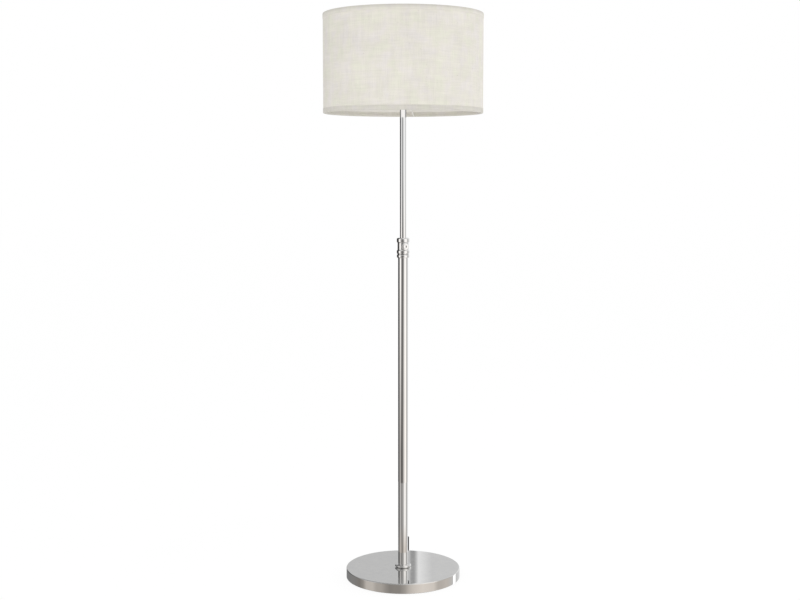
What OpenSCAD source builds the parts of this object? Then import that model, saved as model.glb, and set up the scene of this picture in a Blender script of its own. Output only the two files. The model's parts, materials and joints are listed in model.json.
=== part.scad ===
// Telescopic floor lamp: a weighted round base, a two-stage pole with a clamp collar and a thumb
// knob, and a fabric drum shade that hangs on a recessed wire spider.
// Origin on the floor under the pole's axis, +Z up, the front towards -Y, the upper pole half out.

/* [Overall] */
// Height as set, from the floor to the top of the shade
lamp_h = 1432; // [1390:1:1560]
// Height of the clamp collar's top over the floor
collar_top_z = 876; // [860:1:900]

/* [Base] */
// Diameter of the base
base_d = 292; // [250:1:330]
// Height of the base
base_h = 26; // [26:1:32]
// Rounding of the base's top edge
base_edge_r = 2; // [1:0.5:4]
// Thickness of the plated cover
cover_wall = 1.5; // [1:0.1:2]
// Thickness of the iron weight under the cover
weight_h = 14; // [12:0.5:16]
// Thickness of the felt ring under the base
pad_h = 3; // [2:0.5:4]
// Outer diameter of the bead around the pole's foot
foot_ring_d = 42; // [36:1:50]
// Height of the bead around the pole's foot
foot_ring_h = 8; // [6:0.5:10]

/* [Pole] */
// Outer diameter of the lower tube
lower_tube_d = 25.4; // [25:0.1:26]
// Wall of the lower tube
lower_wall = 1.2; // [1:0.1:1.3]
// Outer diameter of the upper tube
upper_tube_d = 16; // [15:0.5:16.5]
// Wall of the upper tube
upper_wall = 1; // [0.8:0.1:1.2]
// Length of the upper tube
upper_tube_l = 700; // [600:5:720]
// Radial clearance of the sliding and turning fits
run_gap = 0.05; // [0.03:0.01:0.08]

/* [Clamp collar] */
// Outer diameter of the collar's two beads
bead_d = 32; // [31:0.5:34]
// Diameter of the neck between the beads
neck_d = 28; // [27:0.5:29]
// Height of the upper bead
top_bead_h = 12; // [10:0.5:13]
// Height of the neck
neck_h = 18; // [17:0.5:20]
// Height of the lower bead
low_bead_h = 10.5; // [9:0.5:11]
// Height of the ferrule bead under the collar
ferrule_h = 9; // [8:0.5:10]
// Height of the shadow groove between the ferrule and the collar
groove_h = 1; // [0.6:0.1:1.4]
// Diameter of the thumb knob
knob_d = 18.5; // [16:0.5:22]
// Thickness of the thumb knob
knob_h = 5; // [4:0.5:7]
// Direction of the thumb knob, counted from +X
knob_angle = -74; // [-120:1:-40]

/* [Cable outlet] */
// Height of the middle of the outlet over the floor
outlet_z = 84.5; // [84.5:0.5:120]
// Height of the outlet's face
outlet_h = 37; // [30:1:40]
// Width of the outlet's face
outlet_w = 15; // [13:0.5:16]
// Distance of the outlet's face from the pole's axis
outlet_reach = 16.5; // [16:0.5:18]
// Diameter of the hole for the lead
outlet_bore_d = 7; // [6:0.5:8]
// Direction of the outlet, counted from +X
outlet_angle = 47; // [40:1:140]

/* [Shade] */
// Diameter of the shade
shade_d = 400; // [360:1:420]
// Height of the shade
shade_h = 245; // [220:1:270]
// Height of the turned-in hems
hem_h = 12; // [10:0.5:15]
// Thickness of the fabric
fabric_t = 0.6; // [0.4:0.1:0.8]
// Thickness of the stiff lining
lining_t = 0.8; // [0.6:0.1:1]
// Diameter of the two rim wires
rim_wire_d = 3.5; // [3:0.5:4]
// Diameter of the spider's arms
arm_d = 4.5; // [4:0.5:5]
// Height of the spider's hub over the shade's lower edge
hub_rise = 70; // [55:1:80]
// Direction of the rear arm, counted from +X
rear_arm_angle = 82; // [60:1:120]

/* [Lampholder and bulb] */
// Outer diameter of the threaded skirt
skirt_d = 38.8; // [38.8:0.1:39.6]
// Height of the threaded skirt over the hub
skirt_h = 33; // [30:1:36]
// Outer diameter of the clamp nut that holds the shade
clamp_nut_d = 54; // [50:1:60]
// Diameter of the bulb
bulb_d = 60; // [50:1:62]
// Length of the bulb with its cap
bulb_l = 105; // [100:1:112]

/* [Hidden] */
$fn = 96;

// How far a cutting shape runs past the face that it cuts
cut = 1;
// Gap between pieces that are pressed, glued or screwed together
seat_gap = 0.05;

// Base
base_r = base_d / 2;
cover_gap = 1.5;
cover_ceiling_z = base_h - cover_wall;
weight_r = base_r - cover_wall - 0.5;
weight_z = cover_ceiling_z - weight_h;
plate_t = 1.2;
plate_r = base_r - cover_wall - 1;
plate_top_z = pad_h + plate_t;
screw_count = 3;
screw_circle_r = 108;
screw_r = 2;
screw_head_r = 3.8;
boss_r = 7;
bolt_r = 5;
bolt_hole_r = 5.5;
bolt_head_h = 6.5;
bolt_head_r = 9.8;
bolt_reach = 30;
pocket_r = 18;
pocket_h = 5;
washer_h = 2;
washer_r = 15;
pocket_top_z = weight_z + pocket_h;
washer_z = pocket_top_z - washer_h;

// Pole
lower_bore_r = lower_tube_d / 2 - lower_wall;
lower_sleeve_r = lower_tube_d / 2 + seat_gap;
upper_r = upper_tube_d / 2;
upper_bore_r = upper_r - upper_wall;
plug_l = 36;
lead_hole_r = 3.2;

// Clamp collar
top_bead_z = collar_top_z - top_bead_h;
neck_z = top_bead_z - neck_h;
low_bead_z = neck_z - low_bead_h;
collar_z = low_bead_z - groove_h;
ferrule_z = collar_z - ferrule_h;
bead_r = bead_d / 2;
neck_r = neck_d / 2;
bead_corner = 3.2;
ferrule_corner = 3;
spigot_r = neck_r + 0.6;
lip_h = 2;
bush_wall = 2.05;
bush_bore_r = upper_r + run_gap;
bush_r = bush_bore_r + bush_wall;
pad_r = 2.9;
pad_gap = 0.3;
pad_l = 3;
pad_back = upper_r + pad_gap + pad_l;
knob_screw_r = 3;
knob_z = neck_z + neck_h / 2;
knob_back = bead_r + 0.6;
knob_face = knob_back + knob_h;
knob_stem_r = 5;
knob_stem_back = neck_r + 1;
knob_corner = 1.6;
knob_dome = 0.5;
dimple_r = 4;
dimple_depth = 0.9;
knob_screw_depth = 3;
outlet_corner = 2.5;

// Upper pole
shade_z = lamp_h - shade_h;
hub_z = shade_z + hub_rise;
holder_z = hub_z - 24;
tube_cap_h = 2;
upper_top_z = holder_z - tube_cap_h;
upper_z = upper_top_z - upper_tube_l;
slide_bush_l = 23.7;
slide_bush_gap = 0.3;
slide_bush_z = upper_z - slide_bush_gap - slide_bush_l;
spigot_pin_r = 6;
spigot_pin_z = slide_bush_z - 0.2;
clip_h = 1.2;
clip_z = spigot_pin_z - 0.1 - clip_h;
clip_seat_r = 5;
clip_lip_r = 5.6;
clip_lip_h = 1.3;
clip_r = 8.5;
clip_split = 3;

// Lampholder, counted from the lower face of its cap
nipple_r = 5;
nipple_bore_r = 3.4;
nipple_below = 14;
nipple_above = 8.5;
cap_floor_h = 3;
nut_h = 3;
nut_r = 8;
cap_h = 22;
cap_r = 20.5;
flange_r = 22;
insert_z = holder_z + 10;
insert_h = 19;
insert_r = 14.2;
insert_top_z = insert_z + insert_h;
body_z = holder_z + cap_h;
skirt_r = skirt_d / 2;
hub_t = 2;
hub_r = 28;
thread_count = 8;
thread_pitch = 2.6;
shell_r = 13.9;
shell_t = 0.5;
shell_h = 25;
contact_h = 4;
clamp_nut_h = 9;
flute_count = 16;
flute_r = 1.6;

// Bulb, counted from its end contact
bulb_z = insert_top_z + contact_h;
bulb_cap_r = 13.1;
bulb_cap_z = bulb_z + 3;
bulb_cap_h = 23;
glass_t = 1;
glass_r = bulb_d / 2;

// Shade
shade_r = shade_d / 2;
fabric_r = shade_r - fabric_t - seat_gap;
lining_r = fabric_r - fabric_t - seat_gap;
lining_in_r = lining_r - lining_t;
rim_wire_r = rim_wire_d / 2;
rim_r = lining_in_r - rim_wire_r - seat_gap;
rim_inset = fabric_t + seat_gap + rim_wire_r;
hem_leg_r = rim_r - rim_wire_r - seat_gap;
slit_d = arm_d + 1.5;
arm_step = 120;

// Points on an arc from angle a0 to a1
function arc(centre, r, a0, a1, steps = 8) = [
    for (i = [0 : steps])
        let (a = a0 + (a1 - a0) * i / steps) centre + r * [cos(a), sin(a)]
];

// Straight round tube between two heights
module tube(r, bore_r, z0, z1) {
    translate([0, 0, z0]) difference() {
        cylinder(r = r, h = z1 - z0);
        translate([0, 0, -cut]) cylinder(r = bore_r, h = z1 - z0 + 2 * cut);
    }
}

// Ring with rounded outer corners
module bead(r, bore_r, z0, h, corner, steps = 8) {
    rotate_extrude() polygon(concat(
        [[bore_r, z0]],
        arc([r - corner, z0 + corner], corner, -90, 0, steps),
        arc([r - corner, z0 + h - corner], corner, 0, 90, steps),
        [[bore_r, z0 + h]]
    ));
}

// Turns +Z of its children outwards, level, in the given direction and at the given height
module outward(angle, z) {
    translate([0, 0, z]) rotate([0, 0, angle]) rotate([0, 90, 0]) children();
}

module at_screws() {
    for (i = [0 : screw_count - 1])
        rotate([0, 0, 90 + i * 360 / screw_count]) translate([screw_circle_r, 0, 0]) children();
}

// ---- base ----

module base_cover() {
    color("silver") rotate_extrude($fn = 180) polygon(concat(
        [[bolt_hole_r, base_h]],
        arc([base_r - base_edge_r, base_h - base_edge_r], base_edge_r, 90, 0),
        [[base_r, cover_gap], [base_r - cover_wall, cover_gap],
         [base_r - cover_wall, cover_ceiling_z], [bolt_hole_r, cover_ceiling_z]]
    ));
}

// Seats for the screws' heads, from under the plate up into the weight's bosses
module screw_seats() {
    at_screws() translate([0, 0, pad_h - cut])
        cylinder(r1 = screw_head_r + cut + seat_gap, r2 = screw_r + seat_gap,
                 h = screw_head_r + cut - screw_r);
}

module base_weight() {
    color("dimgray") difference() {
        union() {
            translate([0, 0, weight_z]) cylinder(r = weight_r, h = weight_h, $fn = 180);
            at_screws() translate([0, 0, plate_top_z]) cylinder(r = boss_r, h = weight_h);
        }
        translate([0, 0, weight_z - cut]) cylinder(r = pocket_r, h = pocket_h + cut);
        translate([0, 0, weight_z - cut]) cylinder(r = bolt_hole_r, h = weight_h + 2 * cut);
        at_screws() translate([0, 0, plate_top_z - cut]) cylinder(r = screw_r, h = 12);
        screw_seats();
    }
}

module base_plate() {
    color("black") difference() {
        translate([0, 0, pad_h]) cylinder(r = plate_r, h = plate_t, $fn = 180);
        screw_seats();
    }
}

module plate_screws() {
    color("gray") at_screws() {
        translate([0, 0, pad_h])
            cylinder(r1 = screw_head_r, r2 = screw_r - seat_gap, h = screw_head_r - screw_r + seat_gap);
        translate([0, 0, pad_h + 1]) cylinder(r = screw_r - seat_gap, h = 10);
    }
}

module base_pad() {
    color("darkslategray") tube(plate_r - 1.5, plate_r - 20, 0, pad_h, $fn = 180);
}

module base_bolt() {
    color("gray") {
        translate([0, 0, washer_z - bolt_head_h]) cylinder(r = bolt_head_r, h = bolt_head_h, $fn = 6);
        translate([0, 0, washer_z - cut])
            cylinder(r = bolt_r - seat_gap, h = base_h + bolt_reach - washer_z + cut);
    }
}

module base_washer() {
    color("gray") tube(washer_r, bolt_r + 0.3, washer_z, pocket_top_z);
}

module tube_plug() {
    color("gray") tube(lower_bore_r - seat_gap, bolt_r, base_h, base_h + plug_l);
}

module foot_ring() {
    color("silver")
        bead(foot_ring_d / 2, lower_sleeve_r, base_h, foot_ring_h, foot_ring_h / 2 - 0.3);
}

// ---- lower pole and clamp collar ----

module lower_tube() {
    color("silver") difference() {
        tube(lower_tube_d / 2, lower_bore_r, base_h, neck_z);
        outward(outlet_angle, outlet_z) cylinder(r = outlet_bore_d / 2 + 2.2, h = lower_tube_d);
    }
}

module outlet_outline() {
    square([outlet_h, outlet_w - 2 * outlet_corner], center = true);
    square([outlet_h - 2 * outlet_corner, outlet_w], center = true);
    for (end = [-1, 1], side = [-1, 1])
        translate([end * (outlet_h / 2 - outlet_corner), side * (outlet_w / 2 - outlet_corner)])
            circle(r = outlet_corner);
}

// Oblong saddle with a neck through the tube's wall
module cable_outlet() {
    color("black") difference() {
        union() {
            intersection() {
                outward(outlet_angle, outlet_z) linear_extrude(height = 2 * outlet_reach)
                    outlet_outline();
                tube(outlet_reach, lower_sleeve_r, outlet_z - outlet_h, outlet_z + outlet_h);
            }
            outward(outlet_angle, outlet_z) translate([0, 0, lower_bore_r - 1.2])
                cylinder(r = outlet_bore_d / 2 + 2, h = lower_wall + 2.7);
        }
        outward(outlet_angle, outlet_z) cylinder(d = outlet_bore_d, h = 2 * outlet_reach);
    }
}

module collar_ferrule() {
    color("silver") bead(bead_r - 0.2, lower_sleeve_r, ferrule_z, ferrule_h, ferrule_corner);
}

module collar_outline() {
    polygon(concat(
        [[lower_sleeve_r, collar_z], [spigot_r, collar_z], [spigot_r, low_bead_z]],
        arc([bead_r - bead_corner, low_bead_z + bead_corner], bead_corner, -90, 0),
        arc([bead_r - bead_corner, neck_z - bead_corner], bead_corner, 0, 60),
        [[neck_r, neck_z], [neck_r, top_bead_z]],
        arc([bead_r - bead_corner, top_bead_z + bead_corner], bead_corner, -60, 0),
        arc([bead_r - bead_corner, collar_top_z - bead_corner], bead_corner, 0, 90),
        [[upper_r + 0.5, collar_top_z], [upper_r + 0.5, collar_top_z - lip_h],
         [bush_r + seat_gap, collar_top_z - lip_h], [bush_r + seat_gap, neck_z],
         [lower_sleeve_r, neck_z]]
    ));
}

module clamp_collar() {
    color("silver") difference() {
        rotate_extrude() collar_outline();
        outward(knob_angle, knob_z) cylinder(r = knob_screw_r + run_gap, h = bead_d);
    }
}

module clamp_bush() {
    color("ivory") difference() {
        tube(bush_r, bush_bore_r, neck_z, collar_top_z - lip_h);
        outward(knob_angle, knob_z) cylinder(r = knob_screw_r + run_gap, h = bead_d);
    }
}

module clamp_pad() {
    color("goldenrod") outward(knob_angle, knob_z)
        translate([0, 0, upper_r + pad_gap]) cylinder(r = pad_r, h = pad_l);
}

module knob_screw() {
    color("gray") outward(knob_angle, knob_z) translate([0, 0, pad_back + seat_gap])
        cylinder(r = knob_screw_r, h = knob_back + knob_screw_depth - pad_back - seat_gap);
}

// Turned about its own screw: a stem, a disc with rounded rims and a domed face with a dimple
module lock_knob() {
    rim_r = knob_d / 2 - knob_corner;
    bore_r = knob_screw_r + seat_gap;
    bore_end = knob_back + knob_screw_depth + seat_gap;
    crown_h = (rim_r ^ 2 - dimple_r ^ 2 + knob_dome ^ 2) / (2 * knob_dome);
    dome_r = norm([dimple_r, crown_h]);
    color("silver") outward(knob_angle, knob_z) rotate_extrude() polygon(concat(
        [[bore_r, knob_stem_back], [knob_stem_r, knob_stem_back], [knob_stem_r, knob_back]],
        arc([rim_r, knob_back + knob_corner], knob_corner, -90, 0),
        arc([rim_r, knob_face - knob_dome - knob_corner], knob_corner, 0, 80),
        arc([0, knob_face - crown_h], dome_r, 90 - asin(rim_r / dome_r),
            90 - asin(dimple_r / dome_r), 4),
        [[dimple_r * 0.6, knob_face - dimple_depth * 0.7],
         [0, knob_face - dimple_depth], [0, bore_end], [bore_r, bore_end]]
    ));
}

// ---- upper pole ----

// Nylon guide with two lands that slide in the lower tube
module slide_bush() {
    land_r = lower_bore_r - run_gap;
    land_h = 7;
    relief = 0.6;
    bore_r = spigot_pin_r + run_gap;
    color("ivory") translate([0, 0, slide_bush_z]) rotate_extrude() polygon([
        [bore_r, 0], [land_r, 0], [land_r, land_h], [land_r - relief, land_h + relief],
        [land_r - relief, slide_bush_l - land_h - relief], [land_r, slide_bush_l - land_h],
        [land_r, slide_bush_l], [bore_r, slide_bush_l]
    ]);
}

// Plug in the upper tube's lower end, whose pin carries the guide and ends in a clip seat
module end_plug() {
    lip_z = clip_z - 0.1 - clip_lip_h;
    color("gray") rotate_extrude() polygon([
        [lead_hole_r, lip_z], [clip_lip_r, lip_z], [clip_lip_r, lip_z + clip_lip_h],
        [clip_seat_r, lip_z + clip_lip_h], [clip_seat_r, spigot_pin_z],
        [spigot_pin_r, spigot_pin_z], [spigot_pin_r, upper_z],
        [upper_bore_r - seat_gap, upper_z], [upper_bore_r - seat_gap, upper_z + 22],
        [lead_hole_r, upper_z + 22]
    ]);
}

module plug_clip() {
    color("gray") difference() {
        tube(clip_r, clip_seat_r + seat_gap, clip_z, clip_z + clip_h);
        translate([0, -clip_split / 2, clip_z - cut]) cube([clip_r + cut, clip_split, clip_h + 2 * cut]);
    }
}

module upper_tube() {
    color("silver") tube(upper_r, upper_bore_r, upper_z, upper_top_z);
}

module top_plug() {
    color("gray") tube(upper_bore_r - seat_gap, nipple_r, upper_top_z - 22, upper_top_z);
}

module tube_cap() {
    color("silver") bead(upper_r + 2, nipple_r + 0.1, upper_top_z, tube_cap_h, 0.8);
}

module holder_nipple() {
    color("goldenrod")
        tube(nipple_r - seat_gap, nipple_bore_r, holder_z - nipple_below, holder_z + nipple_above);
}

module holder_nut() {
    nut_z = holder_z + cap_floor_h;
    color("gray") difference() {
        translate([0, 0, nut_z]) cylinder(r = nut_r, h = nut_h, $fn = 6);
        translate([0, 0, nut_z - cut]) cylinder(r = nipple_r, h = nut_h + 2 * cut);
    }
}

// ---- lampholder ----

module holder_cap() {
    cap_wall = 2;
    foot_r = 10;
    cone_h = 11;
    color("whitesmoke") translate([0, 0, holder_z]) rotate_extrude() polygon([
        [nipple_r + 0.1, 0], [foot_r, 0], [cap_r - 1, cone_h - 1], [cap_r, cone_h + 1],
        [cap_r, cap_h], [cap_r - cap_wall, cap_h], [cap_r - cap_wall, cone_h + 2],
        [foot_r + 1, cap_floor_h], [nipple_r + 0.1, cap_floor_h]
    ]);
}

module holder_insert() {
    terminal_r = 2;
    terminal_x = 8.5;
    color("linen") difference() {
        translate([0, 0, insert_z]) cylinder(r = insert_r, h = insert_h);
        for (side = [-1, 1])
            translate([side * terminal_x, 0, insert_z - cut]) cylinder(r = terminal_r, h = 8 + cut);
    }
}

// Sleeve with a shoulder for the spider's hub and a thread for the clamp nut
module holder_body() {
    bore_r = insert_r + 0.1;
    thread_depth = 0.6;
    thread_z = hub_z + hub_t + 2;
    color("whitesmoke") rotate_extrude() polygon(concat(
        [[bore_r, body_z], [flange_r, body_z], [flange_r, hub_z], [skirt_r, hub_z]],
        [for (i = [0 : thread_count - 1], step = [0 : 2])
            [skirt_r - (step == 1 ? thread_depth : 0),
             thread_z + (i + step * 0.4) * thread_pitch]],
        [[skirt_r, hub_z + skirt_h - 1], [skirt_r - 1, hub_z + skirt_h],
         [bore_r, hub_z + skirt_h]]
    ));
}

module screw_shell() {
    color("goldenrod") tube(shell_r, shell_r - shell_t, insert_top_z, insert_top_z + shell_h);
}

module centre_contact() {
    color("goldenrod") translate([0, 0, insert_top_z]) {
        cylinder(r = 5, h = 0.8);
        cylinder(r = 3, h = contact_h);
    }
}

// ---- bulb ----

module bulb_contact() {
    color("silver") translate([0, 0, bulb_z]) cylinder(r = 4.6, h = 1.2);
}

module bulb_insulator() {
    color("black") translate([0, 0, bulb_z + 1.2])
        cylinder(r1 = 5.5, r2 = bulb_cap_r - 1.5, h = 1.8);
}

// Cap with rolled thread rounds and a plain skirt
module bulb_cap() {
    rounds = 5;
    pitch = 3.6;
    depth = 0.8;
    bore_r = bulb_cap_r - 1.5;
    color("lightgray") translate([0, 0, bulb_cap_z]) rotate_extrude() polygon(concat(
        [[bore_r, 0]],
        [for (i = [0 : rounds - 1], step = [0 : 1])
            [bulb_cap_r - (step == 0 ? depth : 0), (i + step * 0.5) * pitch]],
        [[bulb_cap_r, bulb_cap_h], [bore_r, bulb_cap_h]]
    ));
}

// One wall of the bulb, from the neck inside the cap to the crown
function bulb_wall(inset) = concat(
    [[11.4 - inset, 20], [11.4 - inset, 26.4], [13.3 - inset, 27.5], [14.4 - inset, 36]],
    arc([0, bulb_l - glass_r], glass_r - inset, -48, 90, 20)
);

module bulb_glass() {
    inner = bulb_wall(glass_t);
    color("white") translate([0, 0, bulb_z]) rotate_extrude() polygon(concat(
        bulb_wall(0),
        [for (i = [len(inner) - 1 : -1 : 0]) inner[i]]
    ));
}

// ---- shade ----

module spider_hub() {
    color("ivory") tube(hub_r, skirt_r + 0.3, hub_z, hub_z + hub_t);
}

// Drop of the arms from the hub to the lower rim wire
arm_z0 = hub_z + hub_t / 2;
arm_z1 = shade_z + rim_inset;
arm_tilt = atan2(arm_z0 - arm_z1, rim_r - hub_r);

// Rod along an arm's line, from inside the hub to past the rim
module arm_line(angle, d) {
    translate([0, 0, arm_z0]) rotate([0, 0, angle]) translate([hub_r, 0, 0])
        rotate([0, 90 + arm_tilt, 0]) translate([0, 0, -6]) cylinder(d = d, h = rim_r - hub_r + 24);
}

module spider_arm(angle) {
    color("ivory") difference() {
        intersection() {
            arm_line(angle, arm_d);
            translate([0, 0, arm_z1 - 10]) cylinder(r = hem_leg_r + seat_gap, h = hub_rise + 20);
        }
        translate([0, 0, hub_z - 10]) cylinder(r = hub_r, h = 20);
    }
}

module clamp_nut() {
    nut_r = clamp_nut_d / 2;
    nut_z = hub_z + hub_t;
    color("whitesmoke") difference() {
        bead(nut_r, skirt_r + 0.1, nut_z, clamp_nut_h, 1.2, 1);
        for (i = [0 : flute_count - 1])
            rotate([0, 0, i * 360 / flute_count]) translate([nut_r + 0.6, 0, nut_z - cut])
                cylinder(r = flute_r, h = clamp_nut_h + 2 * cut, $fn = 24);
    }
}

module rim_wire(z) {
    color("ivory") translate([0, 0, z]) rotate_extrude($fn = 180)
        translate([rim_r, 0]) circle(r = rim_wire_r, $fn = 24);
}

module shade_bottom_ring() { rim_wire(shade_z + rim_inset); }
module shade_top_ring() { rim_wire(lamp_h - rim_inset); }

module shade_lining() {
    color("white")
        tube(lining_r, lining_in_r, shade_z + rim_inset, lamp_h - rim_inset, $fn = 180);
}

module shade_fabric() {
    color("linen") tube(fabric_r, lining_r + seat_gap, shade_z + fabric_t + seat_gap,
                        lamp_h - fabric_t - seat_gap, $fn = 180);
}

// Section of a hem: down the outside, under the rim wire and back up to the lining
module hem_outline() {
    in_r = hem_leg_r - fabric_t;
    wire_top = rim_inset + rim_wire_r;
    back_r = lining_in_r - seat_gap;
    polygon([
        [fabric_r + seat_gap, hem_h], [shade_r, hem_h], [shade_r, 0], [in_r, 0],
        [in_r, wire_top], [back_r - fabric_t, wire_top + 4], [back_r - fabric_t, hem_h],
        [back_r, hem_h], [back_r, wire_top + 3.6], [hem_leg_r, wire_top - 0.4],
        [hem_leg_r, fabric_t], [fabric_r + seat_gap, fabric_t]
    ]);
}

module bottom_hem() {
    color("linen") difference() {
        translate([0, 0, shade_z]) rotate_extrude($fn = 180) hem_outline();
        for (i = [0 : 2]) intersection() {
            arm_line(rear_arm_angle + i * arm_step, slit_d);
            translate([0, 0, shade_z]) cylinder(r = rim_r, h = hub_rise);
        }
    }
}

module top_hem() {
    color("linen") translate([0, 0, lamp_h]) mirror([0, 0, 1])
        rotate_extrude($fn = 180) hem_outline();
}

base_cover();
base_weight();
base_plate();
plate_screws();
base_pad();
base_bolt();
base_washer();
tube_plug();
foot_ring();
lower_tube();
cable_outlet();
collar_ferrule();
clamp_collar();
clamp_bush();
clamp_pad();
knob_screw();
lock_knob();
slide_bush();
end_plug();
plug_clip();
upper_tube();
top_plug();
tube_cap();
holder_nipple();
holder_nut();
holder_cap();
holder_insert();
holder_body();
screw_shell();
centre_contact();
bulb_contact();
bulb_insulator();
bulb_cap();
bulb_glass();
spider_hub();
spider_arm(rear_arm_angle);  // spider_arm_rear
spider_arm(rear_arm_angle + arm_step);  // spider_arm_left
spider_arm(rear_arm_angle + 2 * arm_step);  // spider_arm_right
clamp_nut();
shade_bottom_ring();
shade_top_ring();
shade_lining();
shade_fabric();
bottom_hem();
top_hem();
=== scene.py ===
"""Looks of a telescopic floor lamp: chromed base, pole and clamp collar, and a linen drum shade."""
import json
import math
import random

import bpy
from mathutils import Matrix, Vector

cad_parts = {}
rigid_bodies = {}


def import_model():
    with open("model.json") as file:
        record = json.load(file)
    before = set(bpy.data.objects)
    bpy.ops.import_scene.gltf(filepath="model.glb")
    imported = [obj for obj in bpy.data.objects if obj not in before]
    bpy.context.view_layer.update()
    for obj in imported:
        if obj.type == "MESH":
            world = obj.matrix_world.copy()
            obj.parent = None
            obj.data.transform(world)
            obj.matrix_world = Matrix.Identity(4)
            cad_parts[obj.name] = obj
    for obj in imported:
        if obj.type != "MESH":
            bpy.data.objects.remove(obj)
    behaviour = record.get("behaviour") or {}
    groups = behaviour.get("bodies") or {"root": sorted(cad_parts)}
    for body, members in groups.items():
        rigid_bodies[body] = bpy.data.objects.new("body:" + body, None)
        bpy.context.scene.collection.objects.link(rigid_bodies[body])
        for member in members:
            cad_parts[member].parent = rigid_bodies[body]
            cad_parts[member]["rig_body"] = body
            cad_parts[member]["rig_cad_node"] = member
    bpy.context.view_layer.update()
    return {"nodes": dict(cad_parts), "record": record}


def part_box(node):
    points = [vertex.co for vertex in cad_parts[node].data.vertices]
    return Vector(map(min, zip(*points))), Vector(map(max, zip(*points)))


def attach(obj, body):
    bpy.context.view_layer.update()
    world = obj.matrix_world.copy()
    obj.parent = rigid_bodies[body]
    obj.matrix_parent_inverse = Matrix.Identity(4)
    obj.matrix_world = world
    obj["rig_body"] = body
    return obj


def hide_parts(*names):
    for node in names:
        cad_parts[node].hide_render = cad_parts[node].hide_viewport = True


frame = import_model()
NODES = frame["nodes"]

MM = 0.001
FULL_TURN = 2 * math.pi


# ---------------------------------------------------------------- camera

IMAGE_W = 800
FOCAL_PX = 1299.2
AXIS_X_PX = 403.1
CAMERA_BACK = 3.278
CAMERA_H = 1.040
CAMERA_PITCH = math.radians(5.6)


def make_camera():
    data = bpy.data.cameras.new("camera")
    data.sensor_width = 36
    data.lens = FOCAL_PX / IMAGE_W * data.sensor_width
    camera = bpy.data.objects.new("camera", data)
    bpy.context.scene.collection.objects.link(camera)
    yaw = math.atan((AXIS_X_PX - IMAGE_W / 2) / FOCAL_PX)
    camera.location = (0, -CAMERA_BACK, CAMERA_H)
    camera.rotation_euler = (math.pi / 2 - CAMERA_PITCH, 0, yaw)
    bpy.context.scene.camera = camera


make_camera()
bpy.context.scene.view_settings.view_transform = "Standard"


# ---------------------------------------------------------------- sizes, from the frame

def top_of(node):
    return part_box(node)[1].z


def foot_of(node):
    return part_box(node)[0].z


def radius_of(node):
    """Half the node's width; the knob lies level, so its height is its width."""
    low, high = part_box(node)
    return (high.z - low.z) / 2 if node == "lock_knob" else (high.y - low.y) / 2


BASE_R = radius_of("base_cover")
BASE_TOP = top_of("base_cover")
SHADE_LOW = foot_of("bottom_hem")
SHADE_TOP = top_of("top_hem")
SHADE_R = radius_of("top_hem")
LINING_R = radius_of("shade_lining")
HEM_H = top_of("bottom_hem") - SHADE_LOW
POLE_R = radius_of("lower_tube")
STEM_R = radius_of("upper_tube")
COLLAR_TOP = top_of("clamp_collar")
SEAT_GAP = 0.05 * MM
KNOB_ANGLE = math.radians(-74)
KNOB_Z = (foot_of("lock_knob") + top_of("lock_knob")) / 2
OUTLET_ANGLE = math.radians(47)
OUTLET_Z = (foot_of("cable_outlet") + top_of("cable_outlet")) / 2
ARM_ANGLES = {"spider_arm_rear": math.radians(82), "spider_arm_left": math.radians(202),
              "spider_arm_right": math.radians(322)}


# ---------------------------------------------------------------- materials

def new_material(name):
    material = bpy.data.materials.new(name)
    material.use_nodes = True
    return material, material.node_tree, material.node_tree.nodes["Principled BSDF"]


def add_node(tree, kind, **values):
    made = tree.nodes.new(kind)
    for key, value in values.items():
        if key in made.inputs:
            made.inputs[key].default_value = value
        else:
            setattr(made, key, value)
    return made


def place(tree, source="Object", scale=(1, 1, 1)):
    """Pattern coordinates in metres, stretched by scale."""
    coords = add_node(tree, "ShaderNodeTexCoord")
    mapping = add_node(tree, "ShaderNodeMapping")
    mapping.inputs["Scale"].default_value = scale
    tree.links.new(coords.outputs[source], mapping.inputs["Vector"])
    return mapping.outputs["Vector"]


def noise(tree, where, scale, detail=3.0, roughness=0.5):
    made = add_node(tree, "ShaderNodeTexNoise", Scale=scale, Detail=detail, Roughness=roughness)
    tree.links.new(where, made.inputs["Vector"])
    return made.outputs["Fac"]


def ramp(tree, value, stops):
    made = tree.nodes.new("ShaderNodeValToRGB")
    elements = made.color_ramp.elements
    while len(elements) < len(stops):
        elements.new(0.5)
    for element, (position, colour) in zip(elements, stops):
        element.position = position
        element.color = (*colour, 1) if hasattr(colour, "__len__") else (colour,) * 3 + (1,)
    tree.links.new(value, made.inputs["Fac"])
    return made.outputs["Color"]


def spread(tree, value, low, high, start=0.3, end=0.7):
    """A value from low to high, as the pattern goes from start to end."""
    made = add_node(tree, "ShaderNodeMapRange")
    for key, number in zip(("From Min", "From Max", "To Min", "To Max"), (start, end, low, high)):
        made.inputs[key].default_value = number
    tree.links.new(value, made.inputs["Value"])
    return made.outputs["Result"]


def maths(tree, operation, a, b=None):
    made = add_node(tree, "ShaderNodeMath", operation=operation)
    for socket, value in zip(made.inputs, (a, b)):
        if value is None:
            continue
        if isinstance(value, (int, float)):
            socket.default_value = value
        else:
            tree.links.new(value, socket)
    return made.outputs["Value"]


def mix(tree, share, a, b, blend="MIX"):
    made = add_node(tree, "ShaderNodeMix", data_type="RGBA", blend_type=blend)
    for socket, value in ((made.inputs["Factor"], share), (made.inputs[6], a), (made.inputs[7], b)):
        if isinstance(value, (int, float)):
            socket.default_value = value
        elif isinstance(value, tuple):
            socket.default_value = (*value, 1)
        else:
            tree.links.new(value, socket)
    return made.outputs[2]


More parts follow.
